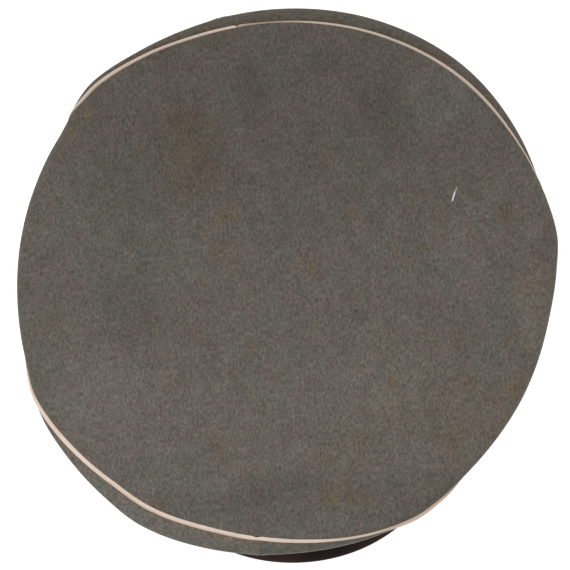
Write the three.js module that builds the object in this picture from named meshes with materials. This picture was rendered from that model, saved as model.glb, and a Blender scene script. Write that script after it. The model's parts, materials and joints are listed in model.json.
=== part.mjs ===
// Visor cap: a soft wool crown with a corded edge, an upright oval band and a stiff peak.
//
// Millimetres, +Z up. In the cap's own frame the peak points to -Y, the band's lower edge lies in the
// plane z = 0, and an azimuth is 0 at the peak and grows towards +X. The last step leans the cap back
// until the peak's rim and the rear of the band stand on the same level.
import * as THREE from 'three';
import { mergeVertices } from 'three/addons/utils/BufferGeometryUtils.js';

// Cloth and clearances
const CLOTH = 2.0;             // wool with its interlining
const GAP = 0.3;               // clearance between neighbouring pieces
const STATIONS = 72;           // sections round the whole crown
const SAME_POINT = 1e-4;       // corners closer than this are one

// Band: an upright oval for a size 57 head
const BAND = { halfWidth: 85.5, halfLength: 103, height: 45, wall: 2.5, proud: 0.6 };

// Crown edge: the height of its widest line, and how that line rises at the front and at both ends
const EDGE_HEIGHT = { mean: 78, frontRise: 16, endRise: 6, twistDeg: -15 };
const ROLL_RADIUS = 6;         // how tightly the cloth turns over the crown's edge
const DOME = 2;                // how far the middle of the top stands over a taut sheet
const SIDE_STEEPEN = THREE.MathUtils.degToRad(26);   // the side cloth turns down as it meets the band
const SIDE_STEEPEST = THREE.MathUtils.degToRad(84);
const NEAR_EDGE = 0.99;        // reach at which the top's slope is taken to run it into the roll
const PROFILE_STEPS = { top: 60, roll: 24, side: 40 };

// Piping: a cord in the slot between the top cloth and the side cloth
const PIPING = { radius: 1.05, lift: 0.25, sides: 8 };

// Seams that join the two side cloths
const FRONT_SEAM_DEG = 351.5;
const REAR_SEAM_DEG = 191.3;

// Peak
const PEAK = {
  spreadDeg: 70,               // half the band's oval that the peak follows, from its front
  length: 49.5,                // along the slope at the centre
  tipLength: 2.5,              // at the two horns
  slopeDeg: 39.5,              // below level at the centre
  slopeGainDeg: 20,            // more at the horns
  rootHeight: 7,               // top face where it meets the band
  rootFall: 2,                 // lower by this much at the horns
  thickness: 2,
  camber: 1.6,                 // how far the slope bulges between root and rim
  taperPower: 3.2,             // how square the rim is towards the horns
};

// The crown's edge, a row wherever its course changes. radius: widest line, from the crown's axis.
// seamRise: distance over the rolled cloth from the widest line up to the piping, negative where the
// piping is rolled under.
const EDGE = rows(['azimuthDeg', 'radius', 'seamRise'], [
  [0, 141.1, 8.8],
  [17, 139.7, 4.0],
  [25, 139.3, 2.0],
  [31, 137.4, 0.4],
  [37, 135.8, -3.5],
  [46, 134.7, -6.0],
  [57, 134.5, -6.0],
  [77, 135.3, -6.0],
  [89, 138.3, -6.0],
  [96, 140.6, -6.0],
  [105, 140.0, -3.5],
  [109, 139.6, 1.8],
  [112, 140.2, 4.1],
  [119, 141.7, 7.0],
  [137, 144.5, 10.3],
  [157, 144.1, 11.8],
  [177, 142.9, 11.7],
  [197, 142.6, 10.2],
  [210, 143.8, 8.1],
  [221, 146.0, 7.2],
  [226, 144.7, 5.6],
  [229, 142.9, 1.8],
  [231, 141.7, -2.6],
  [234, 140.7, -5.6],
  [238, 140.4, -6.0],
  [249, 139.5, -6.0],
  [269, 138.8, -6.0],
  [283, 139.6, -3.5],
  [288, 140.7, -1.2],
  [293, 142.4, 2.4],
  [298, 143.7, 5.4],
  [307, 144.3, 8.3],
  [318, 145.5, 11.5],
  [327, 146.8, 12.9],
  [342, 144.3, 12.8],
]);

// Dents and swells of the top cloth, one row each: where, half sizes, turn, and depth (down is negative)
const DENTS = rows(['x', 'y', 'halfWidth', 'halfLength', 'turnDeg', 'depth'], [
  [-2, -98, 38, 13, 0, -1.8],
  [-92, -28, 16, 46, -12, 1.0],
  [-66, 0, 22, 50, 0, -0.9],
  [40, 30, 60, 40, 20, 0.8],
]);

const radians = THREE.MathUtils.degToRad;

function rows(columns, table) {
  return table.map((values) => Object.fromEntries(columns.map((name, i) => [name, values[i]])));
}

// Smooth periodic curve through one column of a table, by cubic Hermite pieces
function periodic(table, column) {
  const count = table.length;
  const at = (i) => {
    const turn = Math.floor(i / count);
    const row = table[i - turn * count];
    return { x: row.azimuthDeg + 360 * turn, y: row[column] };
  };
  const slope = (i) => (at(i + 1).y - at(i - 1).y) / (at(i + 1).x - at(i - 1).x);
  return (azimuth) => {
    const x = THREE.MathUtils.euclideanModulo(THREE.MathUtils.radToDeg(azimuth), 360);
    let i = 0;
    while (at(i + 1).x <= x) i += 1;
    const [a, b] = [at(i), at(i + 1)];
    const width = b.x - a.x;
    const t = (x - a.x) / width;
    const rise = b.y - a.y;
    const bend = (slope(i) * width - rise) * (1 - t) + (rise - slope(i + 1) * width) * t;
    return a.y + rise * t + t * (1 - t) * bend;
  };
}

const edgeRadius = periodic(EDGE, 'radius');
const seamRise = periodic(EDGE, 'seamRise');

// Distance from the axis to the band's oval, grown outwards by a distance
function bandRadius(azimuth, grow = 0) {
  const [a, b] = [BAND.halfWidth + grow, BAND.halfLength + grow];
  return (a * b) / Math.hypot(b * Math.sin(azimuth), a * Math.cos(azimuth));
}

// Height of a taut sheet held by the crown's edge; reach is 0 on the axis and 1 at the edge
function sheetHeight(reach, azimuth) {
  const { mean, frontRise, endRise, twistDeg } = EDGE_HEIGHT;
  return mean
    + frontRise * reach * Math.cos(azimuth)
    + endRise * reach ** 2 * Math.cos(2 * (azimuth - radians(twistDeg)));
}

// Height of the top cloth over the sheet's edge, domed in the middle
function domeHeight(reach, azimuth) {
  return sheetHeight(reach, azimuth) + DOME * (1 - reach ** 2);
}

function dentDepth(x, y) {
  return DENTS.reduce((sum, dent) => {
    const turn = radians(dent.turnDeg);
    const across = ((x - dent.x) * Math.cos(turn) + (y - dent.y) * Math.sin(turn)) / dent.halfWidth;
    const along = ((y - dent.y) * Math.cos(turn) - (x - dent.x) * Math.sin(turn)) / dent.halfLength;
    return sum + dent.depth * Math.exp(-(across ** 2) - along ** 2);
  }, 0);
}

// The arc over which the cloth turns at the crown's edge, by its angle above level, and the foot of the
// side cloth on the band. pitch is how steeply the edge stands over the foot.
function edgeRoll(azimuth) {
  const centre = new THREE.Vector2(edgeRadius(azimuth) - ROLL_RADIUS, sheetHeight(1, azimuth));
  const foot = new THREE.Vector2(bandRadius(azimuth, -BAND.proud), BAND.height + GAP);
  const pitch = Math.atan2(centre.y - foot.y, centre.x - foot.x);
  const rise = domeHeight(1, azimuth) - domeHeight(NEAR_EDGE, azimuth);
  const tilt = Math.atan2(rise, (1 - NEAR_EDGE) * centre.x);
  const at = (angle) => new THREE.Vector2(Math.cos(angle), Math.sin(angle))
    .multiplyScalar(ROLL_RADIUS)
    .add(centre);
  return { centre, foot, pitch, tilt, start: Math.PI / 2 + tilt, end: pitch - Math.PI / 2, at };
}

// The top of the profile, from the axis to the roll, which it joins without a crease
function topPoints(azimuth, { centre, tilt }) {
  const fullReach = 1 - (ROLL_RADIUS * Math.sin(tilt)) / centre.x;
  return Array.from({ length: PROFILE_STEPS.top }, (_, i) => {
    const reach = (fullReach * i) / PROFILE_STEPS.top;
    const r = reach * centre.x;
    const [x, y] = [r * Math.sin(azimuth), -r * Math.cos(azimuth)];
    const lift = ROLL_RADIUS * THREE.MathUtils.lerp(1, 1 / Math.cos(tilt), reach ** 2);
    return new THREE.Vector2(r, domeHeight(reach, azimuth) + lift + dentDepth(x, y));
  });
}

function rollPoints({ start, end, at }) {
  return Array.from({ length: PROFILE_STEPS.roll + 1 }, (_, i) => (
    at(THREE.MathUtils.lerp(start, end, i / PROFILE_STEPS.roll))
  ));
}

// The side of the profile, from the roll down to the foot, where it stands more upright
function sidePoints({ foot, pitch, end, at }) {
  const start = at(end);
  const third = start.distanceTo(foot) / 3;
  const footPitch = Math.min(pitch + SIDE_STEEPEN, SIDE_STEEPEST);
  const along = (angle) => new THREE.Vector2(Math.cos(angle), Math.sin(angle)).multiplyScalar(third);
  const side = new THREE.CubicBezierCurve(
    start,
    start.clone().sub(along(pitch)),
    foot.clone().add(along(footPitch)),
    foot,
  );
  return side.getPoints(PROFILE_STEPS.side).slice(1);
}

// The crown's outer profile at one azimuth: radius and height against the distance s over the cloth.
// s is 0 on the widest line, grows up and in over the top, and is negative down the side.
function crownProfile(azimuth) {
  const roll = edgeRoll(azimuth);
  const points = [...topPoints(azimuth, roll), ...rollPoints(roll), ...sidePoints(roll)];
  const travel = [0];
  for (let i = 1; i < points.length; i += 1) {
    travel.push(travel[i - 1] + points[i].distanceTo(points[i - 1]));
  }
  const widest = travel[PROFILE_STEPS.top] + ROLL_RADIUS * roll.start;
  const s = travel.map((distance) => widest - distance);
  return { points, s, top: s[0], bottom: s[s.length - 1] };
}

// Point and outward normal of a profile at distance s, as { r, z, nr, nz }
function onProfile(profile, s) {
  const { points, s: along } = profile;
  let i = 0;
  while (i < points.length - 2 && along[i + 1] > s) i += 1;
  const [a, b] = [points[i], points[i + 1]];
  const t = THREE.MathUtils.clamp((along[i] - s) / (along[i] - along[i + 1]), 0, 1);
  const step = new THREE.Vector2().subVectors(b, a).normalize();
  return { r: a.x + (b.x - a.x) * t, z: a.y + (b.y - a.y) * t, nr: -step.y, nz: step.x };
}

// Places a point of a profile in space, lifted off the cloth by a distance
function place(azimuth, point, lift = 0) {
  const r = Math.max(point.r + point.nr * lift, 0);
  return new THREE.Vector3(r * Math.sin(azimuth), -r * Math.cos(azimuth), point.z + point.nz * lift);
}

// A solid through a row of sections. Each section lists its outer face and then its inner face back, so
// point i faces point n - 1 - i. An open row of sections is capped, a closed one joins up.
function solid(sections, { closed, pole = false }) {
  const size = sections[0].length;
  const points = sections.flat();
  const index = [];
  const same = (i, j) => points[i].distanceTo(points[j]) < SAME_POINT;
  const triangle = (a, b, c) => {
    if (!same(a, b) && !same(b, c) && !same(c, a)) index.push(a, b, c);
  };
  // a quad is split along its shorter diagonal
  const quad = (a, b, c, d) => {
    if (points[a].distanceTo(points[c]) <= points[b].distanceTo(points[d])) {
      triangle(a, b, c);
      triangle(a, c, d);
    } else {
      triangle(a, b, d);
      triangle(b, c, d);
    }
  };
  const spans = closed ? sections.length : sections.length - 1;
  const edges = pole ? size - 1 : size;
  for (let j = 0; j < spans; j += 1) {
    const next = (j + 1) % sections.length;
    for (let i = 0; i < edges; i += 1) {
      const k = (i + 1) % size;
      quad(j * size + i, j * size + k, next * size + k, next * size + i);
    }
  }
  if (!closed) {
    const last = (sections.length - 1) * size;
    for (let i = 0; i < size / 2 - 1; i += 1) {
      const k = size - 1 - i;
      quad(i, k, k - 1, i + 1);
      quad(last + i, last + i + 1, last + k - 1, last + k);
    }
  }
  const geometry = new THREE.BufferGeometry().setFromPoints(points);
  geometry.setIndex(index);
  const merged = mergeVertices(geometry, SAME_POINT);
  merged.computeVertexNormals();
  return merged;
}

function piece(name, geometry, { color, roughness, metalness = 0 }) {
  const mesh = new THREE.Mesh(geometry, new THREE.MeshStandardMaterial({ color, roughness, metalness }));
  mesh.name = name;
  return mesh;
}

const WOOL = { color: 0x625c55, roughness: 0.95 };
const CREAM_CORD = { color: 0xdccab9, roughness: 0.85 };
const LACQUER = { color: 0x2c2320, roughness: 0.35 };

const around = (i, count) => (2 * Math.PI * i) / count;
const SLOT = PIPING.radius + GAP;      // half the slot that the piping fills

// Top cloth: from the axis out to the piping and back along its underside
function crownTop() {
  const ringCount = 15;
  const edgeBias = 1.9;                // rings crowd towards the rolled edge
  const sections = Array.from({ length: STATIONS }, (_, j) => {
    const azimuth = around(j, STATIONS);
    const profile = crownProfile(azimuth);
    const rim = seamRise(azimuth) + SLOT;
    const stations = Array.from({ length: ringCount + 1 }, (_unused, i) => {
      const share = 1 - (1 - i / ringCount) ** edgeBias;
      return profile.top + (rim - profile.top) * share;
    });
    const face = stations.map((s) => onProfile(profile, s));
    const outer = face.map((point) => place(azimuth, point));
    const inner = face.map((point) => place(azimuth, point, -CLOTH));
    outer[0].set(0, 0, outer[0].z);
    inner[0].set(0, 0, outer[0].z - CLOTH);
    return [...outer, ...inner.reverse()];
  });
  return solid(sections, { closed: true, pole: true });
}

// Side cloth between two seams: from the piping down to the band
function sidePanel(fromDeg, toDeg) {
  const rowCount = 9;
  const edgeBias = 1.5;                // rows crowd towards the rolled edge
  const seamGap = GAP / 2 / BAND.halfWidth;
  const [from, to] = [radians(fromDeg) + seamGap, radians(toDeg) - seamGap];
  const step = around(1, STATIONS);    // the panel shares the whole crown's stations
  const [first, last] = [Math.ceil(from / step), Math.floor(to / step)];
  const between = Array.from({ length: last - first + 1 }, (_unused, i) => (first + i) * step);
  const sections = [from, ...between, to].map((azimuth) => {
    const profile = crownProfile(azimuth);
    const rim = seamRise(azimuth) - SLOT;
    const face = Array.from({ length: rowCount + 1 }, (_unused, i) => {
      const share = (i / rowCount) ** edgeBias;
      return onProfile(profile, rim + (profile.bottom - rim) * share);
    });
    const outer = face.map((point) => place(azimuth, point));
    const inner = face.map((point) => place(azimuth, point, -CLOTH));
    return [...outer, ...inner.reverse()];
  });
  return solid(sections, { closed: false });
}

// Piping: a round cord that follows the slot
function piping() {
  const sections = Array.from({ length: STATIONS }, (_, j) => {
    const azimuth = around(j, STATIONS);
    const seat = onProfile(crownProfile(azimuth), seamRise(azimuth));
    return Array.from({ length: PIPING.sides }, (_unused, i) => {
      const turn = around(i, PIPING.sides);
      const lift = PIPING.lift + PIPING.radius * Math.cos(turn);
      const across = PIPING.radius * Math.sin(turn);
      const shifted = { ...seat, r: seat.r + seat.nz * across, z: seat.z - seat.nr * across };
      return place(azimuth, shifted, lift);
    });
  });
  return solid(sections, { closed: true });
}

// Band: an upright oval wall with eased outer edges
function band() {
  const ease = 0.8;
  const face = [
    [ease, BAND.height],
    [0, BAND.height - ease],
    [0, BAND.height / 2],
    [0, ease],
    [ease, 0],
    [BAND.wall, 0],
    [BAND.wall, BAND.height / 2],
    [BAND.wall, BAND.height],
  ];
  const sections = Array.from({ length: STATIONS }, (_, j) => {
    const azimuth = around(j, STATIONS);
    return face.map(([inset, z]) => place(azimuth, { r: bandRadius(azimuth, -inset), z, nr: 1, nz: 0 }));
  });
  return solid(sections, { closed: true });
}

// Peak: slopes out and down from the front of the band; across runs -1 to 1 from horn to horn
function peak() {
  const [spans, steps] = [32, 6];
  const sections = Array.from({ length: spans + 1 }, (_, j) => {
    const across = (2 * j) / spans - 1;
    const turn = across * radians(PEAK.spreadDeg);
    const root = new THREE.Vector2(BAND.halfWidth * Math.sin(turn), -BAND.halfLength * Math.cos(turn));
    const out = new THREE.Vector2(Math.sin(turn) / BAND.halfWidth, -Math.cos(turn) / BAND.halfLength);
    out.normalize();
    root.addScaledVector(out, GAP + facetBow());
    const slope = radians(PEAK.slopeDeg + PEAK.slopeGainDeg * across ** 2);
    const taper = 1 - Math.abs(across) ** PEAK.taperPower;
    const length = PEAK.tipLength + (PEAK.length - PEAK.tipLength) * taper;
    const rootZ = PEAK.rootHeight - PEAK.rootFall * across ** 2;
    const drop = PEAK.thickness / Math.cos(slope);
    const upper = Array.from({ length: steps + 1 }, (_unused, i) => {
      const t = i / steps;
      const bulge = 4 * t * (1 - t) * PEAK.camber * taper;
      const reach = t * length;
      const away = root.clone().addScaledVector(out, reach * Math.cos(slope) + bulge * Math.sin(slope));
      return new THREE.Vector3(away.x, away.y, rootZ - reach * Math.sin(slope) + bulge * Math.cos(slope));
    });
    const lower = upper.map((p) => new THREE.Vector3(p.x, p.y, p.z - drop));
    return [...upper, ...lower.reverse()];
  });
  return solid(sections, { closed: false });
}

// How far the band's true oval bows out past its flat facets
function facetBow() {
  return BAND.halfLength * (1 - Math.cos(Math.PI / STATIONS));
}

// The lean at which the peak's rim and the band's lower edge stand on one level
function restingLean(peakMesh, bandMesh) {
  const lowest = (mesh, lean) => {
    const turned = new THREE.Matrix4().makeRotationX(-lean);
    const position = mesh.geometry.attributes.position;
    const point = new THREE.Vector3();
    let low = Infinity;
    for (let i = 0; i < position.count; i += 1) {
      low = Math.min(low, point.fromBufferAttribute(position, i).applyMatrix4(turned).z);
    }
    return low;
  };
  const halvings = 40;
  let [least, most] = [0, radians(20)];
  for (let i = 0; i < halvings; i += 1) {
    const middle = (least + most) / 2;
    if (lowest(peakMesh, middle) < lowest(bandMesh, middle)) least = middle;
    else most = middle;
  }
  return least;
}

const peakMesh = piece('peak', peak(), LACQUER);
const bandMesh = piece('band', band(), WOOL);

const cap = new THREE.Group();
cap.add(
  piece('crown_top', crownTop(), WOOL),
  piece('crown_piping', piping(), CREAM_CORD),
  piece('side_right', sidePanel(FRONT_SEAM_DEG - 360, REAR_SEAM_DEG), WOOL),
  piece('side_left', sidePanel(REAR_SEAM_DEG, FRONT_SEAM_DEG), WOOL),
  bandMesh,
  peakMesh,
);
cap.rotation.x = -restingLean(peakMesh, bandMesh);

// The origin is the middle of the footprint's box, on the surface that the cap rests on
const group = new THREE.Group();
group.add(cap);
group.updateMatrixWorld(true);
const box = new THREE.Box3().setFromObject(cap, true);
cap.position.set(-(box.min.x + box.max.x) / 2, -(box.min.y + box.max.y) / 2, -box.min.z);

export default group;
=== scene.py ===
"""Visor cap: wool crown and band, cream piping and a lacquered peak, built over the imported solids.

The cap's own frame has the peak at -Y and the band's lower edge in the plane z = 0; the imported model
leans it back. Shapes are worked out in that frame in millimetres and placed in metres at the end.
Azimuths are radians from the peak, growing towards +X.
"""

import json
import math

import bmesh
import bpy
import numpy as np
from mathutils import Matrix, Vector, noise

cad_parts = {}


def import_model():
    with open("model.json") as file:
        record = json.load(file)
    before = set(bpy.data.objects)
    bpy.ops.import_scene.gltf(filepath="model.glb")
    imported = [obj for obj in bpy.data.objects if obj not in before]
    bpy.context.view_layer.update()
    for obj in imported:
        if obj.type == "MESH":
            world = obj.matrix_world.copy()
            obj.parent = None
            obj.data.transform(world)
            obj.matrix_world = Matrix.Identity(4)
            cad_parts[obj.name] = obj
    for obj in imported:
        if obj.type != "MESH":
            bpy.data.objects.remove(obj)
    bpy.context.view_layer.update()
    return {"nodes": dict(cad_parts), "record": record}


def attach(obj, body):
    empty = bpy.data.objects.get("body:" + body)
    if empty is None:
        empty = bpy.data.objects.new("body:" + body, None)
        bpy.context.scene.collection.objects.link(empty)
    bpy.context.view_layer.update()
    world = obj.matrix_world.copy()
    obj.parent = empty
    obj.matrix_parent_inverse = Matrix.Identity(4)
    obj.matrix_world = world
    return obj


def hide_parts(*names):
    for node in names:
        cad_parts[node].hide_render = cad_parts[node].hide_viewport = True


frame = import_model()

MM = 0.001
TAU = 2 * math.pi
CLOTH_UV = "cloth"                     # millimetres over the cloth, the nap runs along v
# Where each cloth starts in those millimetres, so that no two have the same grain
CLOTH_START = dict(band=2000, side_right=3000, side_left=4000)

# The solids' own dimensions, in millimetres and degrees, as in the part's source
BAND = dict(half_width=85.5, half_length=103, height=45, wall=2.5, proud=0.6)
EDGE_HEIGHT = dict(mean=78, front_rise=16, end_rise=6, twist=-15)
CLOTH = 2.0
GAP = 0.3
ROLL_RADIUS = 6
DOME = 2
SIDE_STEEPEN = 26
SIDE_STEEPEST = 84
FRONT_SEAM = 351.5
REAR_SEAM = 191.3
PROFILE_STEPS = dict(top=120, roll=48, side=60)     # more than the solids have
NEAR_EDGE = 0.99                       # reach at which the top's slope is taken to run it into the roll
PIPING_LIFT = 0.25
PEAK = dict(spread=70, length=49.5, tip_length=2.5, slope=39.5, slope_gain=20, root_height=7,
            root_fall=2, thickness=2, camber=1.6, taper_power=3.2)

# azimuth in degrees, radius of the widest line, rise of the piping over it along the cloth
EDGE = np.array([
    (0, 141.1, 8.8), (17, 139.7, 4.0), (25, 139.3, 2.0), (31, 137.4, 0.4), (37, 135.8, -3.5),
    (46, 134.7, -6.0), (57, 134.5, -6.0), (77, 135.3, -6.0), (89, 138.3, -6.0), (96, 140.6, -6.0),
    (105, 140.0, -3.5), (109, 139.6, 1.8), (112, 140.2, 4.1), (119, 141.7, 7.0), (137, 144.5, 10.3),
    (157, 144.1, 11.8), (177, 142.9, 11.7), (197, 142.6, 10.2), (210, 143.8, 8.1), (221, 146.0, 7.2),
    (226, 144.7, 5.6), (229, 142.9, 1.8), (231, 141.7, -2.6), (234, 140.7, -5.6), (238, 140.4, -6.0),
    (249, 139.5, -6.0), (269, 138.8, -6.0), (283, 139.6, -3.5), (288, 140.7, -1.2), (293, 142.4, 2.4),
    (298, 143.7, 5.4), (307, 144.3, 8.3), (318, 145.5, 11.5), (327, 146.8, 12.9), (342, 144.3, 12.8),
])

# x, y, half width, half length, turn in degrees, depth (down is negative)
DENTS = np.array([
    (-2, -98, 38, 13, 0, -1.8),
    (-92, -28, 16, 46, -12, 1.0),
    (-66, 0, 22, 50, 0, -0.9),
    (40, 30, 60, 40, 20, 0.8),
])

# How the cord shows: azimuth in degrees, its radius and how deep it sits
CORD = np.array([
    (2, 0.86, 0.3), (8, 0.72, 0.35), (17, 0.76, 0.35), (23, 1.14, 0.1), (34, 1.10, 0.1),
    (60, 0.9, 0.2), (100, 0.60, 0.3), (110, 0.36, 0.4), (116, 0.44, 0.4), (123, 0.68, 0.4),
    (132, 0.84, 0.4), (146, 0.80, 0.45), (157, 0.72, 0.45), (169, 0.62, 0.5), (184, 0.52, 0.6),
    (187, 0.74, 0.4), (205, 0.84, 0.35), (222, 1.06, 0.3), (226, 0.98, 0.4), (230, 0.72, 0.55),
    (236, 0.85, 0.4), (250, 1.0, 0.3), (292, 1.14, 0.3), (345, 1.12, 0.3),
])
# Lengths of the cord painted darker, as painted shade, or lighter, as painted light: distance along it from
# its ends, half length, and how much darker
CORD_LIGHT_AND_SHADE = [(55, 60, 0.20), (288, 28, -0.07), (490, 55, 0.20), (790, 120, 0.26), (870, 28, 0.28)]
REAR_LAP = 188.2                       # where the cord's two ends meet
FRONT_STEP = 350.6                     # where the cord dips for a few millimetres


# ---- curves round the crown ------------------------------------------------------------------

def periodic(table, column):
    """Smooth periodic curve through one column of a table, by cubic Hermite pieces."""
    x = np.concatenate([table[-2:, 0] - 360, table[:, 0], table[:3, 0] + 360])
    y = np.concatenate([table[-2:, column], table[:, column], table[:3, column]])
    slope = np.gradient(y)
    slope[1:-1] = (y[2:] - y[:-2]) / (x[2:] - x[:-2])

    def curve(azimuth):
        at = np.degrees(azimuth) % 360
        i = np.searchsorted(x, at, side="right") - 1
        width = x[i + 1] - x[i]
        t = (at - x[i]) / width
        rise = y[i + 1] - y[i]
        bend = (slope[i] * width - rise) * (1 - t) + (rise - slope[i + 1] * width) * t
        return y[i] + rise * t + t * (1 - t) * bend

    return curve


edge_radius = periodic(EDGE, 1)
seam_rise = periodic(EDGE, 2)
cord_radius = periodic(CORD, 1)
cord_sink = periodic(CORD, 2)


def degrees_apart(azimuth, degrees):
    """Signed distance in degrees from a place on the crown's edge."""
    return (np.degrees(azimuth) - degrees + 180) % 360 - 180


def bump(distance, half_width):
    """1 at no distance, falling smoothly to nothing."""
    return np.exp(-(np.asarray(distance) / half_width) ** 2)


def band_radius(azimuth, grow=0.0):
    a, b = BAND["half_width"] + grow, BAND["half_length"] + grow
    return a * b / np.hypot(b * np.sin(azimuth), a * np.cos(azimuth))


def sheet_height(reach, azimuth):
    twist = math.radians(EDGE_HEIGHT["twist"])
    return (EDGE_HEIGHT["mean"]
            + EDGE_HEIGHT["front_rise"] * reach * np.cos(azimuth)
            + EDGE_HEIGHT["end_rise"] * reach ** 2 * np.cos(2 * (azimuth - twist)))


def dome_height(reach, azimuth):
    return sheet_height(reach, azimuth) + DOME * (1 - reach ** 2)


def dents(x, y):
    total = np.zeros_like(x)
    for x0, y0, half_width, half_length, turn, depth in DENTS:
        turn = math.radians(turn)
        across = ((x - x0) * math.cos(turn) + (y - y0) * math.sin(turn)) / half_width
        along = ((y - y0) * math.cos(turn) - (x - x0) * math.sin(turn)) / half_length
        total += depth * np.exp(-across ** 2 - along ** 2)
    return total


def top_curve(azimuth, edge):
    """Points of the top from the axis to the roll at the crown's edge, and how it tilts there."""
    rise = dome_height(1, azimuth) - dome_height(NEAR_EDGE, azimuth)
    tilt = math.atan2(rise, (1 - NEAR_EDGE) * edge)
    steps = PROFILE_STEPS["top"]
    reach = (1 - ROLL_RADIUS * math.sin(tilt) / edge) * np.arange(steps) / steps
    r = reach * edge
    lift = ROLL_RADIUS * (1 + (1 / math.cos(tilt) - 1) * reach ** 2)
    z = dome_height(reach, azimuth) + lift + dents(r * math.sin(azimuth), -r * math.cos(azimuth))
    return np.column_stack([r, z]), tilt


def side_curve(start, foot, pitch):
    """Bezier curve of the side cloth from the roll down to the band, its start left out."""
    third = np.hypot(*(start - foot)) / 3
    end_pitch = min(pitch + math.radians(SIDE_STEEPEN), math.radians(SIDE_STEEPEST))
    handles = [start, start - third * np.array([math.cos(pitch), math.sin(pitch)]),
               foot + third * np.array([math.cos(end_pitch), math.sin(end_pitch)]), foot]
    t = np.linspace(0, 1, PROFILE_STEPS["side"] + 1)[1:, None]
    weights = [(1 - t) ** 3, 3 * t * (1 - t) ** 2, 3 * t ** 2 * (1 - t), t ** 3]
    return sum(w * h for w, h in zip(weights, handles))


class Profile:
    """The crown's outer profile at one azimuth: r and z against s, the distance over the cloth.

    s is 0 on the widest line, grows up and in over the top and is negative down the side.
    """

    def __init__(self, azimuth):
        centre = np.array([edge_radius(azimuth) - ROLL_RADIUS, sheet_height(1, azimuth)])
        foot = np.array([band_radius(azimuth, -BAND["proud"]), BAND["height"] + GAP])
        pitch = math.atan2(centre[1] - foot[1], centre[0] - foot[0])
        top, tilt = top_curve(azimuth, centre[0])
        turn = np.linspace(math.pi / 2 + tilt, pitch - math.pi / 2, PROFILE_STEPS["roll"] + 1)
        roll = centre + ROLL_RADIUS * np.column_stack([np.cos(turn), np.sin(turn)])
        points = np.vstack([top, roll, side_curve(roll[-1], foot, pitch)])

        travel = np.concatenate([[0], np.cumsum(np.hypot(*np.diff(points, axis=0).T))])
        travel = travel[len(top)] + ROLL_RADIUS * turn[0] - travel
        slope = np.gradient(points, -travel, axis=0)
        slope /= np.hypot(*slope.T)[:, None]
        # np.interp wants s growing
        self.s, self.points = travel[::-1], points[::-1]
        self.normals = np.column_stack([-slope[:, 1], slope[:, 0]])[::-1]
        self.azimuth = azimuth
        self.top, self.bottom = self.s[-1], self.s[0]

    def at(self, s):
        """Points and unit normals at the distances s, in the profile's own r, z plane."""
        point = np.column_stack([np.interp(s, self.s, self.points[:, k]) for k in (0, 1)])
        normal = np.column_stack([np.interp(s, self.s, self.normals[:, k]) for k in (0, 1)])
        return point, normal / np.hypot(*normal.T)[:, None]


def spin(azimuth, flat):
    """Turns points or directions of the r, z plane at one azimuth into the cap's frame."""
    r, z = flat[..., 0], flat[..., 1]
    return np.stack([r * np.sin(azimuth), -r * np.cos(azimuth), z], axis=-1)


# ---- from the cap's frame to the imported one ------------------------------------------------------

def vertices(node):
    mesh = frame["nodes"][node].data
    flat = np.empty(len(mesh.vertices) * 3)
    mesh.vertices.foreach_get("co", flat)
    return flat.reshape(-1, 3)


def cap_frame():
    """Axes of the cap as rows, and its origin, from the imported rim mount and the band."""
    mount = frame["record"]["mounts"][0]
    up = -np.array(mount["axis"], float)
    up /= np.linalg.norm(up)
    right = np.array([1.0, 0.0, 0.0])
    axes = np.array([right, np.cross(up, right), up])
    band = vertices("band") @ axes.T
    low, high = band.min(0), band.max(0)
    return axes, np.array([(low[0] + high[0]) / 2, (low[1] + high[1]) / 2, low[2]])


AXES, ORIGIN = cap_frame()


def to_world(points_mm):
    return (points_mm * MM + ORIGIN) @ AXES


# ---- meshes ----------------------------------------------------------------------------------

def grid_mesh(name, sections, uv, closed, looped=True, capped=False):
    """A mesh of quads through sections[i, j]. Closed joins the last section to the first, looped
    joins the last point of each section to its first, capped fills both end sections, whose point j
    faces point n - 1 - j. uv has one more row, or column, where the grid joins up."""
    count, size = sections.shape[:2]
    rows = np.arange(count if closed else count - 1)
    columns = np.arange(size if looped else size - 1)
    i, j = (a.ravel() for a in np.meshgrid(rows, columns, indexing="ij"))
    corners = [(i, j), (i, j + 1), (i + 1, j + 1), (i + 1, j)]
    faces = np.column_stack([(a % count) * size + b % size for a, b in corners])
    face_uv = np.stack([uv[a, b] for a, b in corners], axis=1)
    if capped:
        k = np.arange(size // 2 - 1)
        for row, order in ((0, 1), (count - 1, -1)):
            cap = np.column_stack([k, size - 1 - k, size - 2 - k, k + 1])[:, ::order]
            faces = np.vstack([faces, row * size + cap])
            face_uv = np.concatenate([face_uv, uv[row, cap]])
    mesh = bpy.data.meshes.new(name)
    mesh.from_pydata(to_world(sections.reshape(-1, 3)).tolist(), [], faces.tolist())
    layer = mesh.uv_layers.new(name=CLOTH_UV)
    layer.data.foreach_set("uv", face_uv.reshape(-1))
    tidy = bmesh.new()
    tidy.from_mesh(mesh)
    bmesh.ops.remove_doubles(tidy, verts=tidy.verts, dist=1e-7)
    bmesh.ops.recalc_face_normals(tidy, faces=tidy.faces)
    tidy.to_mesh(mesh)
    tidy.free()
    mesh.shade_smooth()
    piece = bpy.data.objects.new(name, mesh)
    bpy.context.scene.collection.objects.link(piece)
    return piece


def rim_arc(outer, inner, tangent, bulge, steps=6):
    """Points of a rounded rim from the outer face to the inner one, ends left out."""
    middle, half = (outer + inner) / 2, (outer - inner) / 2
    turn = np.linspace(0, math.pi, steps + 2)[1:-1, None]
    return middle + np.cos(turn) * half + np.sin(turn) * bulge * tangent


def smooth_noise(points, size, seed):
    """Smooth noise from about -1 to 1 at points in millimetres; size is its grain."""
    shift = Vector((seed * 17.3, seed * -9.1, seed * 5.7))
    flat = points.reshape(-1, 3) / size
    values = [noise.noise(Vector(p) + shift) for p in flat]
    return np.array(values).reshape(points.shape[:-1])


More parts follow.
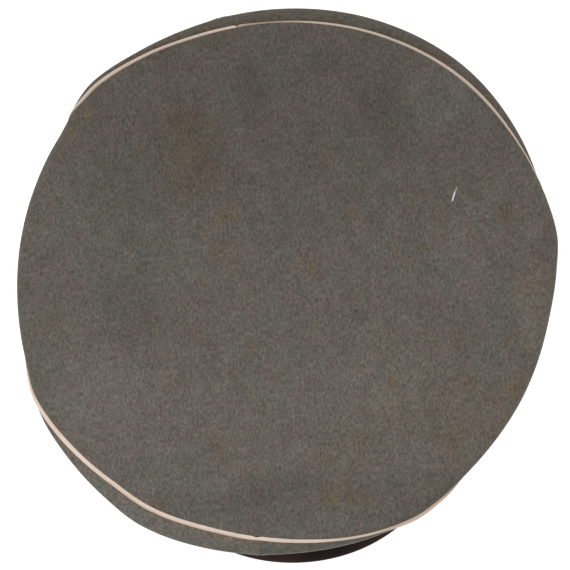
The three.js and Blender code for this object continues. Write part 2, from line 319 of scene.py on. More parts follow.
def layered_noise(points, layers):
    """Sum of smooth noises; each layer has its height, its grain and its seed."""
    return sum(height * smooth_noise(points, size, seed) for height, size, seed in layers)


# ---- crown ------------------------------------------------------------------------------------

RIM_GAP = 0.05                         # between the cord and each cloth's rim
RIM_BULGE = 0.15                       # how far each rim closes in under the cord
STATIONS = 360
TOP_ROWS = dict(count=56, crowding=1.9)     # rows of points crowd towards the rim at the piping
SIDE_ROWS = dict(count=46, crowding=1.3)
# Height, grain and seed of the top's low swells and puckers, and of the side cloths' soft folds
TOP_SWELLS = ((0.385, 45, 3), (0.1375, 17, 4))
SIDE_FOLDS = ((1.0, 26, 8), (0.5, 12, 9))
FOLDS_START = 6                        # below the widest line, and how far they take to grow and fade
FOLDS_GROW = 16
FOLDS_FADE = 8
FOLDS_ROUND = 120                      # radius on which the folds' noise is laid out
FOLDS_UPRIGHT = 0.45                   # below 1 draws the folds out up and down
SWELLS_FADE = 9                        # the swells fade out this near the piping
SEAM_GROOVE = dict(depth=0.4, half_width=0.4)
SEAM_RIDGE = dict(height=0.45, half_width=4)


def seam_frame(profile):
    """Middle of the cord's slot with the directions up the cloth and out of it."""
    point, normal = profile.at(seam_rise(profile.azimuth))
    return point[0], np.array([-normal[0, 1], normal[0, 0]]), normal[0]


def top_section(profile):
    """Points of the top cloth's section, and how far each lies from the axis over the cloth."""
    azimuth = profile.azimuth
    rise = seam_rise(azimuth)
    rim = rise + cord_radius(azimuth) + RIM_GAP
    share = 1 - (1 - np.linspace(0, 1, TOP_ROWS["count"])) ** TOP_ROWS["crowding"]
    s = profile.top + (rim - profile.top) * share
    outer, normal = profile.at(s)
    inner = outer - normal * CLOTH
    outer[0, 0] = inner[0, 0] = 0
    tangent = np.array([normal[-1, 1], -normal[-1, 0]])
    arc = rim_arc(outer[-1], inner[-1], tangent, RIM_BULGE)
    away = profile.top - s
    away = np.concatenate([away, np.full(len(arc), away[-1]), away[::-1]])
    return spin(azimuth, np.vstack([outer, arc, inner[::-1]])), away


def crown_top():
    azimuths = np.arange(STATIONS) * TAU / STATIONS
    sections, away = (np.array(part) for part in zip(*[top_section(Profile(a)) for a in azimuths]))
    distance = np.hypot(sections[..., 0], sections[..., 1])
    fade = 1 - bump(distance - distance.max(axis=1)[:, None], SWELLS_FADE)
    swell = layered_noise(sections * (1, 1, 0), TOP_SWELLS)
    sections[..., 2] += swell * fade
    outward = np.stack([np.sin(azimuths), -np.cos(azimuths)], axis=-1)[:, None]
    flat = away[..., None] * outward
    flat = np.concatenate([flat, flat[:1]])
    return grid_mesh("crown_top_cloth", sections, flat, closed=True, looped=False)


def panel_stations(start, end):
    """Azimuths of a side cloth's sections, crowded at its two seams."""
    step = TAU / STATIONS
    near = np.radians([0.06, 0.16, 0.3, 0.5, 0.75])
    count = round((end - start) / step)
    middle = np.linspace(start, end, count)[1:-1]
    middle = middle[(middle > start + near[-1] + step / 3) & (middle < end - near[-1] - step / 3)]
    return np.concatenate([[start], start + near, middle, end - near[::-1], [end]])


def side_section(profile, seam_distance):
    azimuth = profile.azimuth
    rim = seam_rise(azimuth) - cord_radius(azimuth) - RIM_GAP
    share = np.linspace(0, 1, SIDE_ROWS["count"]) ** SIDE_ROWS["crowding"]
    s = rim + (profile.bottom - rim) * share
    outer, normal = profile.at(s)
    groove = SEAM_GROOVE["depth"] * bump(seam_distance, SEAM_GROOVE["half_width"])
    ridge = SEAM_RIDGE["height"] * bump(seam_distance, SEAM_RIDGE["half_width"])
    dip = groove - ridge - drape(spin(azimuth, outer)) * side_fade(s, profile.bottom)
    outer = outer - normal * dip[:, None]
    inner = outer - normal * CLOTH
    up, down = (np.array([-normal[k, 1], normal[k, 0]]) * sign for k, sign in ((0, 1), (-1, -1)))
    rim_points = rim_arc(outer[0], inner[0], up, RIM_BULGE)
    foot_points = rim_arc(outer[-1], inner[-1], down, GAP)
    half = len(rim_points) // 2
    loop = np.vstack([rim_points[:half][::-1], outer, foot_points, inner[::-1], rim_points[half:][::-1]])
    return spin(azimuth, loop)


def side_fade(s, bottom):
    """1 over the middle of the side cloth, 0 near the crown's widest line and the band."""
    return np.clip((-FOLDS_START - s) / FOLDS_GROW, 0, 1) * np.clip((s - bottom) / FOLDS_FADE, 0, 1)


def drape(points):
    """Soft slanting folds of a side cloth, in millimetres."""
    azimuth = np.arctan2(points[..., 0], -points[..., 1])
    x, y = np.cos(azimuth) * FOLDS_ROUND, np.sin(azimuth) * FOLDS_ROUND
    along = np.stack([x, y, points[..., 2] * FOLDS_UPRIGHT], axis=-1)
    return layered_noise(along, SIDE_FOLDS)


def side_panel(name, start_deg, end_deg, shift):
    start, end = math.radians(start_deg), math.radians(end_deg)
    azimuths = panel_stations(start, end)
    sections = []
    for azimuth in azimuths:
        from_seam = min(azimuth - start, end - azimuth) * edge_radius(azimuth)
        sections.append(side_section(Profile(azimuth), from_seam))
    sections = np.array(sections)
    run = np.concatenate([[0], np.cumsum(np.linalg.norm(np.diff(sections[:, 0], axis=0), axis=-1))])
    fall = np.cumsum(np.linalg.norm(np.diff(sections[0], axis=0, prepend=sections[0, :1]), axis=-1))
    uv = np.stack(np.broadcast_arrays(fall[None, :], run[:, None] + shift), axis=-1)
    uv = np.concatenate([uv, uv[:, :1]], axis=1)
    return grid_mesh(name, sections, uv, closed=False, capped=True)


# ---- piping --------------------------------------------------------------------------------------

CORD_MESH = dict(sides=14, stations=1080)
LAP_OPENING = 0.05                     # degrees from the lap to each end of the cord
# How the cord dips at the front step and tapers at its ends, in millimetres; thinner is a share
CORD_DIP = dict(half_length=1.6, thinner=0.25, sink=0.1, aside=-0.2)
CORD_END = dict(half_length=0.8, thinner=0.35, sink=0.1, aside=0.25)
# Past the front step the cord lies this far aside, reached over a short run and lost over a long one
CORD_STEP = dict(aside=0.12, over=1.5, half_length=25)
CORD_WOBBLE = ((0.04, 3.0, 21), (0.04, 13.0, 22))     # share of its radius, grain and seed


def cord_section(azimuth, to_end):
    """One ring of the cord, to_end radians of azimuth from its nearer end."""
    centre, up, out = seam_frame(Profile(azimuth))
    reach = edge_radius(azimuth)
    past = math.radians(degrees_apart(azimuth, FRONT_STEP)) * reach
    dip = float(bump(past, CORD_DIP["half_length"]))
    end = float(bump(to_end * reach, CORD_END["half_length"]))
    step = math.tanh(past / CORD_STEP["over"]) * float(bump(past, CORD_STEP["half_length"]))
    radius = cord_radius(azimuth) * (1 - CORD_DIP["thinner"] * dip - CORD_END["thinner"] * end)
    sink = cord_sink(azimuth) + CORD_DIP["sink"] * dip + CORD_END["sink"] * end
    aside = CORD_DIP["aside"] * dip + CORD_END["aside"] * end + CORD_STEP["aside"] * step
    middle = centre + out * (PIPING_LIFT - sink) + up * aside
    around = np.arange(CORD_MESH["sides"])[:, None] * TAU / CORD_MESH["sides"]
    return spin(azimuth, middle + radius * (np.cos(around) * out + np.sin(around) * up))


def piping():
    start = math.radians(REAR_LAP + LAP_OPENING)
    end = start + TAU - 2 * math.radians(LAP_OPENING)
    azimuths = np.linspace(start, end, CORD_MESH["stations"])
    sections = np.array([cord_section(a, min(a - start, end - a)) for a in azimuths])
    wobble = layered_noise(sections[:, 0], CORD_WOBBLE)
    middles = sections.mean(axis=1, keepdims=True)
    sections = middles + (sections - middles) * (1 + wobble[:, None, None])
    run = np.concatenate([[0], np.cumsum(np.linalg.norm(np.diff(middles[:, 0], axis=0), axis=-1))])
    girth = np.arange(CORD_MESH["sides"] + 1) * TAU / CORD_MESH["sides"]
    uv = np.stack(np.broadcast_arrays(run[:, None], girth[None, :]), axis=-1)
    return grid_mesh("crown_piping_cord", sections, uv, closed=False, capped=True)


# ---- band ----------------------------------------------------------------------------------------

BAND_ROWS = 20
HEM_STEPS = 9
BAND_HOLLOW = 0.25                     # how far the band's outer face draws in at half its height
BAND_SWAY = ((0.5, 30, 31),)           # height, grain and seed


def band_face():
    """The band's section once round: how far each point lies inside the outer face, and its height."""
    height, wall = BAND["height"], BAND["wall"]
    turn = np.linspace(0, math.pi, HEM_STEPS)
    hem = np.column_stack([1 - np.cos(turn), np.sin(turn)]) * wall / 2
    rows = np.linspace(wall / 2, height - wall / 2, BAND_ROWS + 2)[1:-1]
    foot = np.column_stack([hem[:, 0], wall / 2 - hem[:, 1]])[::-1]
    head = np.column_stack([hem[:, 0], height - wall / 2 + hem[:, 1]])
    outer = np.column_stack([-BAND_HOLLOW * np.sin(math.pi * rows / height) ** 2, rows])
    inner = np.column_stack([np.full_like(rows, wall), rows])[::-1]
    return np.vstack([foot, outer, head, inner])


def band():
    face = band_face()
    azimuths = np.arange(STATIONS) * TAU / STATIONS
    sections = []
    for azimuth in azimuths:
        r = band_radius(azimuth) - face[:, 0]
        sections.append(spin(azimuth, np.column_stack([r, face[:, 1]])))
    sections = np.array(sections)
    fade = np.sin(math.pi * face[:, 1] / BAND["height"])[None, :]
    sway = fade * layered_noise(sections * (1, 1, 0.5), BAND_SWAY)
    outward = np.broadcast_to([1.0, 0.0], sections.shape[:2] + (2,))
    sections += spin(azimuths[:, None], outward) * sway[..., None]
    run = np.arange(STATIONS + 1) * TAU / STATIONS * BAND["half_length"]
    fall = np.cumsum(np.linalg.norm(np.diff(face, axis=0, prepend=face[:1]), axis=-1))
    uv = np.stack(np.broadcast_arrays(run[:, None] + CLOTH_START["band"], fall[None, :]), axis=-1)
    uv = np.concatenate([uv, uv[:, :1]], axis=1)
    return grid_mesh("band_cloth", sections, uv, closed=True)


# ---- peak ------------------------------------------------------------------------------------------

PEAK_MESH = dict(spans=128, steps=28)
PEAK_RIM = 0.6                         # how far the rim, and the edge at the band, are rounded
PEAK_FOOT = 0.2


def peak_section(across):
    """The peak's section at a share of its spread, -1 at one horn and 1 at the other."""
    turn = across * math.radians(PEAK["spread"])
    out = np.array([math.sin(turn) / BAND["half_width"], -math.cos(turn) / BAND["half_length"]])
    out /= np.hypot(*out)
    root = np.array([BAND["half_width"] * math.sin(turn), -BAND["half_length"] * math.cos(turn)])
    root = root + out * GAP
    slope = math.radians(PEAK["slope"] + PEAK["slope_gain"] * across ** 2)
    taper = 1 - abs(across) ** PEAK["taper_power"]
    length = PEAK["tip_length"] + (PEAK["length"] - PEAK["tip_length"]) * taper
    t = np.linspace(0, 1, PEAK_MESH["steps"] + 1)
    bulge = 4 * t * (1 - t) * PEAK["camber"] * taper
    reach = t * length
    away = reach * math.cos(slope) + bulge * math.sin(slope)
    z = PEAK["root_height"] - PEAK["root_fall"] * across ** 2
    z = z - reach * math.sin(slope) + bulge * math.cos(slope)
    upper = np.column_stack([away, z])
    lower = upper - (0, PEAK["thickness"] / math.cos(slope))
    down = np.array([math.cos(slope), -math.sin(slope)])
    inset = down * PEAK_RIM
    rim = rim_arc(upper[-1] - inset, lower[-1] - inset, down, PEAK_RIM)
    foot = rim_arc(upper[0], lower[0], -down, PEAK_FOOT)
    half = len(foot) // 2
    flat = np.vstack([foot[:half][::-1], upper[:-1], upper[-1:] - inset, rim,
                      lower[-1:] - inset, lower[-2::-1], foot[half:][::-1]])
    return np.column_stack([root + flat[:, :1] * out, flat[:, 1]])


def peak():
    sections = np.array([peak_section(across) for across in np.linspace(-1, 1, PEAK_MESH["spans"] + 1)])
    uv = np.concatenate([sections, sections[:, :1]], axis=1)[..., :2]
    return grid_mesh("peak_lacquered", sections, uv, closed=False, capped=True)


# ---- materials ----------------------------------------------------------------------------------

class Nodes:
    """Short ways to write a material's node tree."""

    def __init__(self, name):
        self.material = bpy.data.materials.new(name)
        self.material.use_nodes = True
        self.tree = self.material.node_tree
        self.shader = next(n for n in self.tree.nodes if n.type == "BSDF_PRINCIPLED")
        self.uv = self.add("ShaderNodeUVMap", uv_map=CLOTH_UV).outputs["UV"]

    def add(self, kind, **settings):
        node = self.tree.nodes.new(kind)
        for key, value in settings.items():
            setattr(node, key, value)
        return node

    def feed(self, socket, value):
        if isinstance(value, bpy.types.NodeSocket):
            self.tree.links.new(value, socket)
        else:
            socket.default_value = value

    def maths(self, operation, *values, clamp=False):
        node = self.add("ShaderNodeMath", operation=operation, use_clamp=clamp)
        for socket, value in zip(node.inputs, values):
            self.feed(socket, value)
        return node.outputs[0]

    def grain(self, size, detail=2.0, rough=0.5, shift=0.0):
        """Noise from 0 to 1 over the cloth; size is its grain in millimetres, across and along."""
        place = self.add("ShaderNodeMapping")
        self.feed(place.inputs["Vector"], self.uv)
        place.inputs["Scale"].default_value = (1 / size[0], 1 / size[1], 1)
        place.inputs["Location"].default_value = (shift, shift * 1.7, shift * 0.37)
        texture = self.add("ShaderNodeTexNoise", noise_dimensions="3D")
        self.feed(texture.inputs["Vector"], place.outputs[0])
        texture.inputs["Scale"].default_value = 1
        texture.inputs["Detail"].default_value = detail
        texture.inputs["Roughness"].default_value = rough
        return texture.outputs[0]

    def remap(self, value, low, high, to_low=0.0, to_high=1.0, smooth=False):
        node = self.add("ShaderNodeMapRange", clamp=True)
        if smooth:
            node.interpolation_type = "SMOOTHSTEP"
        self.feed(node.inputs["Value"], value)
        for key, number in (("From Min", low), ("From Max", high), ("To Min", to_low), ("To Max", to_high)):
            node.inputs[key].default_value = number
        return node.outputs[0]

    def mix(self, factor, first, second, blend="MIX"):
        node = self.add("ShaderNodeMix", data_type="RGBA", blend_type=blend)
        self.feed(node.inputs["Factor"], factor)
        self.feed(node.inputs[6], first)
        self.feed(node.inputs[7], second)
        return node.outputs[2]

    def tone(self, colour, amount):
        """A colour made lighter or darker by a factor."""
        node = self.add("ShaderNodeVectorMath", operation="SCALE")
        self.feed(node.inputs[0], colour)
        self.feed(node.inputs["Scale"], amount)
        return node.outputs[0]

    def warped(self, size, amount):
        """Places over the cloth pushed about by noise, for ragged outlines."""
        push = self.add("ShaderNodeTexNoise", noise_dimensions="3D")
        place = self.add("ShaderNodeVectorMath", operation="SCALE")
        self.feed(place.inputs[0], self.uv)
        place.inputs["Scale"].default_value = 1 / size
        self.feed(push.inputs["Vector"], place.outputs[0])
        push.inputs["Scale"].default_value = 1
        push.inputs["Detail"].default_value = 3
        centred = self.add("ShaderNodeVectorMath", operation="MULTIPLY_ADD")
        self.feed(centred.inputs[0], push.outputs["Color"])
        centred.inputs[1].default_value = (2 * amount, 2 * amount, 0)
        centred.inputs[2].default_value = (-amount, -amount, 0)
        moved = self.add("ShaderNodeVectorMath", operation="ADD")
        self.feed(moved.inputs[0], self.uv)
        self.feed(moved.inputs[1], centred.outputs[0])
        return moved.outputs[0]

    def zone(self, place, x, y, half_width, half_length):
        """1 inside an oval of the cloth, falling smoothly to 0 outside it."""
        apart = self.add("ShaderNodeVectorMath", operation="SUBTRACT")
        self.feed(apart.inputs[0], place)
        apart.inputs[1].default_value = (x, y, 0)
        scaled = self.add("ShaderNodeVectorMath", operation="MULTIPLY")
        self.feed(scaled.inputs[0], apart.outputs[0])
        scaled.inputs[1].default_value = (1 / half_width, 1 / half_length, 0)
        size = self.add("ShaderNodeVectorMath", operation="LENGTH")
        self.feed(size.inputs[0], scaled.outputs[0])
        return self.remap(size.outputs["Value"], 0.4, 1.3, 1, 0, smooth=True)

    def distance_to(self, x, y, along=(0.0, 0.0)):
        """Distance in millimetres to a point of the cloth, or to a short line from it."""
        apart = self.add("ShaderNodeVectorMath", operation="SUBTRACT")
        self.feed(apart.inputs[0], self.uv)
        apart.inputs[1].default_value = (x, y, 0)
        length = math.hypot(*along)
        out = apart.outputs[0]
        if length:
            unit = (along[0] / length, along[1] / length, 0)
            dot = self.add("ShaderNodeVectorMath", operation="DOT_PRODUCT")
            self.feed(dot.inputs[0], out)
            dot.inputs[1].default_value = unit
            held = self.remap(dot.outputs["Value"], 0, length, 0, length)
            back = self.add("ShaderNodeVectorMath", operation="SCALE")
            back.inputs[0].default_value = unit
            self.feed(back.inputs["Scale"], held)
            rest = self.add("ShaderNodeVectorMath", operation="SUBTRACT")
            self.feed(rest.inputs[0], out)
            self.feed(rest.inputs[1], back.outputs[0])
            out = rest.outputs[0]
        size = self.add("ShaderNodeVectorMath", operation="LENGTH")
        self.feed(size.inputs[0], out)
        return size.outputs["Value"]

    def relief(self, height, depth_mm, strength=1.0):
        node = self.add("ShaderNodeBump")
        node.inputs["Strength"].default_value = strength
        node.inputs["Distance"].default_value = depth_mm * MM
        self.feed(node.inputs["Height"], height)
        self.feed(self.shader.inputs["Normal"], node.outputs[0])

    def finish(self, **values):
        for key, value in values.items():
            self.feed(self.shader.inputs[key.replace("_", " ")], value)


GREEN_GREY = (0.1210, 0.1236, 0.1116, 1)
BROWN_GREY = (0.1395, 0.1120, 0.0905, 1)
RUST_STAIN = (0.145, 0.102, 0.056, 1)
PALE_FIBRE = (0.30, 0.275, 0.25, 1)
LINT = (0.80, 0.78, 0.84, 1)
SEAM_TINT = (1.08, 0.98, 0.87, 1)      # the side cloth is browner next to the piping
CORD_PALE = (0.83, 0.69, 0.59, 1)
CORD_WORN = (0.69, 0.546, 0.437, 1)
CORD_FLANK_SHADE = (0.97, 0.87, 0.78, 1)     # painted shade: the cord darker and warmer where it turns down to the cloth

# Where the top is lighter, darker or warmer: its own uneven tone and tint, and painted light and shade,
# lighter to the front, darker to the rear and round the dent near the front: x, y, half width, half length,
# brighter, warmer
ZONES = [
    (-50, 72, 24, 28, -0.07, 0.040), (-48, 83, 8, 8, -0.08, 0.020), (22, 57, 42, 20, 0.03, 0.0),
    (-14, 99, 8, 22, -0.10, 0.0), (55, 84, 14, 26, -0.09, 0.0), (25, 112, 14, 10, -0.07, 0.0),
    (67, 79, 12, 14, 0.0, -0.025), (-94, 46, 18, 26, 0.0, -0.024), (-59, 14, 32, 14, 0.0, -0.028),
    (-66, -96, 26, 14, 0.0, -0.035), (-81, -13, 18, 24, -0.09, 0.0), (73, -83, 55, 42, 0.0, 0.027),
    (-97, -56, 26, 26, 0.10, -0.035), (70, -80, 6, 10, -0.08, 0.0), (49, -54, 22, 26, 0.06, 0.015),
    (124, -26, 11, 26, 0.10, 0.045), (-14, -110, 20, 7, -0.12, 0.0), (-8, -92, 28, 6, 0.07, 0.0),
    (11, -128, 16, 5, 0.08, 0.0), (88, 10, 24, 30, 0.04, 0.0), (0, 95, 140, 80, -0.16, 0.0),
    (0, -85, 130, 55, 0.07, 0.0), (20, -118, 90, 16, -0.12, 0.0), (84, 92, 22, 22, 0.09, -0.015),
    (-85, 0, 20, 90, -0.04, 0.0), (-100, -62, 38, 48, 0.07, 0.0), (62, -24, 24, 18, 0.0, 0.028),
]

# The same for the side cloths, by fall below the piping and run along it: painted shade over the rear
# strips, more of it in a narrow band next to the piping there, and painted light over the front-left strip
REAR_RIGHT = CLOTH_START["side_right"] + 410
REAR_LEFT = CLOTH_START["side_left"] + 40
FRONT_LEFT = CLOTH_START["side_left"] + 335
SIDE_ZONES = [
    (0, REAR_RIGHT, 60, 135, -0.20, 0.05), (0, REAR_RIGHT, 3.5, 135, -0.12, 0.05),
    (0, REAR_LEFT, 60, 70, -0.20, 0.05), (0, REAR_LEFT, 3.5, 70, -0.12, 0.05),
    (0, FRONT_LEFT, 60, 85, 0.24, 0.0),
]

STAIN_SPREAD = (1.1, 1.3)              # a stain's half width and half length over its radius
STAIN_SHOWS = 0.65                     # share of the stain's colour at strength 1
# Small stains on the top: x, y, radius, strength
STAINS = [
    (-100, 93, 4.5, 0.6), (-109, 84, 4, 0.5), (-32, 32, 3.2, 0.5), (-27, 32, 2.5, 0.5),
    (-34, 15, 5, 0.5), (13, 3, 3.5, 0.5), (113, 27, 5, 0.6), (80, 28, 3, 0.5), (70, 12, 3.2, 0.45),
    (60, 4, 3, 0.4), (-47, -29, 3.2, 0.45), (-21, -38, 4, 0.4), (85, -39, 4, 0.45), (114, -39, 3.5, 0.4),
    (112, -62, 5, 0.6), (89, -58, 4.5, 0.5), (80, -88, 6, 0.6), (17, -114, 5.5, 0.6), (28, -116, 5, 0.5),
    (13, -96, 4, 0.6), (32, -86, 4.5, 0.45), (51, -59, 4, 0.4), (-40, -85, 5, 0.45), (-16, -68, 4, 0.35),
    (-48, 68, 6, 0.2), (24, 62, 4, 0.4), (-122, -20, 5, 0.3),
]

# Single pale fibres and specks: x, y, how far each runs across and along, and how pale it is
FIBRES = [(86.7, 35.2, 1.5, 4.2, 0.95), (88.0, 39.0, 1.5, 3.0, 0.35), (-68.5, -70.7, 0.2, 1.0, 0.15),
          (-74, -71, 0.6, 0.2, 0.12), (104, 26, 0.3, 0.4, 0.15), (95, 14, 0.2, 0.3, 0.15),
          (-15, 78, 0.2, 0.5, 0.12), (96, 110, 0.2, 0.3, 0.12), (-40, -118, 0.2, 0.4, 0.12)]

# The wool's grain: its size across and along, roughness, place in the noise, and how far it darkens
# and lightens the cloth
WOOL_GRAIN = dict(
    nap=((1.15, 2.2), 0.6, 11, 0.46),
    fine=((0.5, 1.0), 0.6, 3, 0.34),
    clump=((2.8, 4.0), 0.55, 23, 0.16),
    mottle=((9, 12), 0.5, 29, 0.10),
)


def wool_colour(n, browner):
    """The green-grey wool with brown patches and a finer brown tint."""
    patch = n.grain((42, 55), shift=31)
    tint = n.grain((6, 8), rough=0.6, shift=47)
    colour = n.mix(n.remap(patch, 0.35, 0.65, browner - 0.45, browner - 0.1), GREEN_GREY, BROWN_GREY)
    return n.mix(n.remap(tint, 0.35, 0.65, 0.0, 0.5), colour, BROWN_GREY)


def seam_tint_and_painted_shading(n, colour):
    """The side cloth's browner edge next to the piping, and its zones of painted shade at the rear and
    painted light at the front left.
    """
    fall = n.add("ShaderNodeSeparateXYZ")
    n.feed(fall.inputs[0], n.uv)
    near_seam = n.remap(fall.outputs["X"], 0.8, 3.0, 1, 0, smooth=True)
    colour = n.mix(near_seam, colour, SEAM_TINT, blend="MULTIPLY")
    return tone_and_painted_light_zones(n, colour, n.warped(size=18, amount=1.5), SIDE_ZONES)


def wool(name, with_stains_and_painted_light=False, shaded=False):
    n = Nodes(name)
    colour = wool_colour(n, browner=0.45 if shaded else 0.75)
    # On the top: its stains, and its zones of uneven tone, painted light and painted shade
    if with_stains_and_painted_light:
        colour = stains_and_painted_light_zones(n, colour)
    # On the side cloth: its browner seam edge, painted shade at the rear and painted light at the front
    # left
    if shaded:
        colour = seam_tint_and_painted_shading(n, colour)
    grains, tone = {}, 1.0
    for kind, (size, rough, shift, swing) in WOOL_GRAIN.items():
        grains[kind] = n.grain(size, rough=rough, shift=shift)
        tone = n.maths("MULTIPLY", tone, n.remap(grains[kind], 0.2, 0.8, 1 - swing, 1 + swing))
    colour = n.tone(colour, tone)
    speck = n.remap(n.grain((1.1, 1.3), detail=0.0, shift=71), 0.82, 0.88, 0, 0.35)
    colour = n.mix(speck, colour, PALE_FIBRE)
    if with_stains_and_painted_light:
        for x, y, across, along, pale in FIBRES:
            lint = n.remap(n.distance_to(x, y, (across, along)), 0.2, 0.45, pale, 0)
            colour = n.mix(lint, colour, LINT)
    nap_height = n.maths("ADD", grains["nap"], n.maths("MULTIPLY", grains["fine"], 0.6))
    n.relief(nap_height, depth_mm=0.25, strength=0.5)
    n.finish(Base_Color=colour, Roughness=0.92, Sheen_Weight=0.7, Sheen_Roughness=0.2)
    n.shader.inputs["Sheen Tint"].default_value = (0.95, 0.9, 0.85, 1)
    n.shader.inputs["Specular IOR Level"].default_value = 0.2
    return n.material


def tone_and_painted_light_zones(n, colour, place, zones):
    """The cloth's zones of uneven tone and of painted light and shade, lighter, darker or tinted by the
    place on the cloth.
    """
    brighter, warmer = 1.0, 0.0
    for x, y, half_width, half_length, gain, warmth in zones:
        mask = n.zone(place, x, y, half_width, half_length)
        if gain:
            brighter = n.maths("MULTIPLY_ADD", mask, gain, brighter)
        if warmth:
            warmer = n.maths("MULTIPLY_ADD", mask, warmth, warmer)
    channels = n.add("ShaderNodeCombineXYZ")
    n.feed(channels.inputs[0], n.maths("ADD", brighter, warmer))
    n.feed(channels.inputs[1], brighter)
    n.feed(channels.inputs[2], n.maths("SUBTRACT", brighter, warmer))
    product = n.add("ShaderNodeVectorMath", operation="MULTIPLY")
    n.feed(product.inputs[0], colour)
    n.feed(product.inputs[1], channels.outputs[0])
    return product.outputs[0]


def stains_and_painted_light_zones(n, colour):
    """The top's zones of uneven tone and of painted light and shade, and its small stains."""
    colour = tone_and_painted_light_zones(n, colour, n.warped(size=18, amount=9), ZONES)
    broken = n.warped(size=4, amount=5)
    for x, y, radius, strength in STAINS:
        mask = n.zone(broken, x, y, radius * STAIN_SPREAD[0], radius * STAIN_SPREAD[1])
        colour = n.mix(n.maths("MULTIPLY", mask, strength * STAIN_SHOWS), colour, RUST_STAIN)
    return colour


def cord_cloth():
    n = Nodes("cream_cord")
    fibre = n.grain((0.5, 0.25), rough=0.6, shift=5)
    wear = n.grain((9, 2), shift=15)
    colour = n.mix(n.remap(wear, 0.45, 0.75, 0, 0.6), CORD_PALE, CORD_WORN)
    # Painted shade and painted light along the cord's length
    painted_cord_shading = 1.0
    for run, half_length, amount in CORD_LIGHT_AND_SHADE:
        painted_cord_shading = n.maths("MULTIPLY_ADD", n.zone(n.uv, run, math.pi, half_length, 90), -amount, painted_cord_shading)
    fibre_tone = n.remap(fibre, 0.25, 0.75, 0.86, 1.10)
    colour = n.tone(colour, n.maths("MULTIPLY", painted_cord_shading, fibre_tone))
    girth = n.add("ShaderNodeSeparateXYZ")
    n.feed(girth.inputs[0], n.uv)
    flank = n.maths("ABSOLUTE", n.maths("SINE", girth.outputs["Y"]))
    # Painted shade on the cord's flanks, where it turns down into the cloth
    colour = n.mix(n.remap(flank, 0.6, 1.0, smooth=True), colour, CORD_FLANK_SHADE, blend="MULTIPLY")
    n.relief(fibre, depth_mm=0.12, strength=0.6)
    n.finish(Base_Color=colour, Roughness=0.85, Sheen_Weight=0.2, Sheen_Roughness=0.5)
    n.shader.inputs["Specular IOR Level"].default_value = 0.25
    return n.material


LACQUER_RED = (0.030, 0.0140, 0.0110, 1)
LACQUER_PALER = (0.040, 0.0185, 0.0145, 1)
LACQUER_BLACK = (0.0130, 0.0052, 0.0026, 1)
# Where the lacquer is darker, towards black: x, y, half width, half length, how much
LACQUER_DARK = [(15, -140, 17, 60, 1.0), (52, -130, 34, 60, 0.55)]


def lacquer():
    n = Nodes("dark_lacquer")
    cloudy = n.grain((14, 14), detail=3.0, rough=0.6, shift=4)
    pore = n.grain((0.5, 0.5), rough=0.6, shift=14)
    colour = n.mix(n.remap(cloudy, 0.35, 0.65), LACQUER_RED, LACQUER_PALER)
    ragged = n.warped(size=12, amount=5)
    for x, y, half_width, half_length, amount in LACQUER_DARK:
        dark = n.maths("MULTIPLY", n.zone(ragged, x, y, half_width, half_length), amount)
        colour = n.mix(dark, colour, LACQUER_BLACK)
    height = n.maths("ADD", pore, n.maths("MULTIPLY", cloudy, 2.0))
    n.relief(height, depth_mm=0.06, strength=0.5)
    n.finish(Base_Color=colour, Roughness=n.remap(cloudy, 0.3, 0.7, 0.28, 0.44))
    n.shader.inputs["Specular IOR Level"].default_value = 0.08
    return n.material


# ---- pieces -------------------------------------------------------------------------------------

def dress(piece, node, material):
    piece.data.materials.append(material)
    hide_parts(node)
    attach(piece, "root")


crown_wool = wool("crown_wool", with_stains_and_painted_light=True)
side_wool = wool("side_wool", shaded=True)
dress(crown_top(), "crown_top", crown_wool)
side_right = side_panel("side_right_cloth", FRONT_SEAM - 360, REAR_SEAM, CLOTH_START["side_right"])
side_left = side_panel("side_left_cloth", REAR_SEAM, FRONT_SEAM, CLOTH_START["side_left"])
dress(side_right, "side_right", side_wool)
dress(side_left, "side_left", side_wool)
dress(piping(), "crown_piping", cord_cloth())
dress(band(), "band", wool("band_wool"))
dress(peak(), "peak", lacquer())


# ---- floor, light and camera ------------------------------------------------------------------------

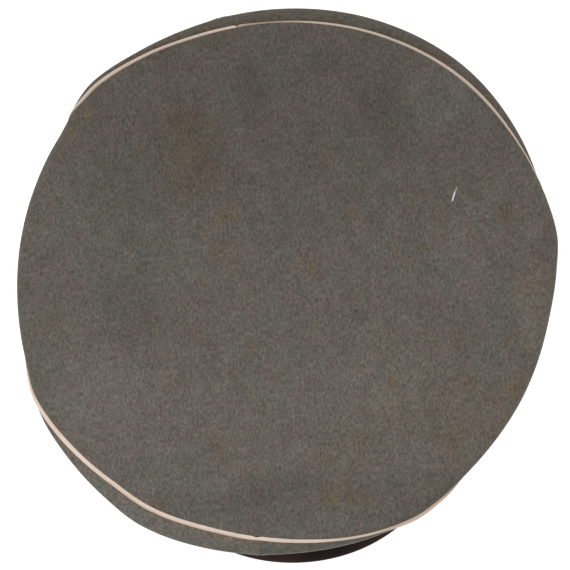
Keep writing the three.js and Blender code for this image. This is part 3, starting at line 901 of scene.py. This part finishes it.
FLOOR_SIZE = 30
SKY = dict(overhead=0.36, horizon=1.0)
KEY = dict(place=(-0.12, 0.2, 1.25), size=1.0, power=8.5)
CAP_MIDDLE = Vector((0, 0, 0.1))


def floor():
    bpy.ops.mesh.primitive_plane_add(size=FLOOR_SIZE)
    plane = bpy.context.object
    plane.name = "floor"
    n = Nodes("pale_floor")
    n.finish(Base_Color=(0.8, 0.8, 0.8, 1), Roughness=0.9)
    n.finish(Emission_Color=(1, 1, 1, 1), Emission_Strength=0.8)
    plane.data.materials.append(n.material)


def world(overhead, horizon):
    """Soft light from all round: white near the horizon, dimmer overhead."""
    scene = bpy.context.scene
    scene.world = bpy.data.worlds.new("studio")
    scene.world.use_nodes = True
    tree = scene.world.node_tree
    direction = tree.nodes.new("ShaderNodeTexCoord")
    split = tree.nodes.new("ShaderNodeSeparateXYZ")
    level = tree.nodes.new("ShaderNodeMapRange")
    level.interpolation_type = "SMOOTHSTEP"
    for key, value in (("From Min", 0.02), ("From Max", 0.3), ("To Min", horizon), ("To Max", overhead)):
        level.inputs[key].default_value = value
    background = tree.nodes["Background"]
    background.inputs["Color"].default_value = (1, 1, 1, 1)
    tree.links.new(direction.outputs["Generated"], split.inputs[0])
    tree.links.new(split.outputs["Z"], level.inputs["Value"])
    tree.links.new(level.outputs[0], background.inputs["Strength"])


def area_light(name, place, size, power):
    light = bpy.data.lights.new(name, "AREA")
    light.size = size
    light.energy = power
    lamp = bpy.data.objects.new(name, light)
    bpy.context.scene.collection.objects.link(lamp)
    lamp.location = place
    lamp.visible_camera = False
    lamp.rotation_euler = (CAP_MIDDLE - lamp.location).to_track_quat("-Z", "Y").to_euler()


def camera(height=1.6, x=-0.00184, y=0.00344, turn=-3, lens=186.5):
    data = bpy.data.cameras.new("camera")
    data.lens = lens
    data.sensor_width = 36
    eye = bpy.data.objects.new("camera", data)
    bpy.context.scene.collection.objects.link(eye)
    eye.location = (x, y, height)
    eye.rotation_euler = (0, 0, math.radians(turn))
    bpy.context.scene.camera = eye


floor()
world(**SKY)
area_light("key", **KEY)
camera()
bpy.context.scene.view_settings.view_transform = "Standard"

bpy.context.view_layer.update()
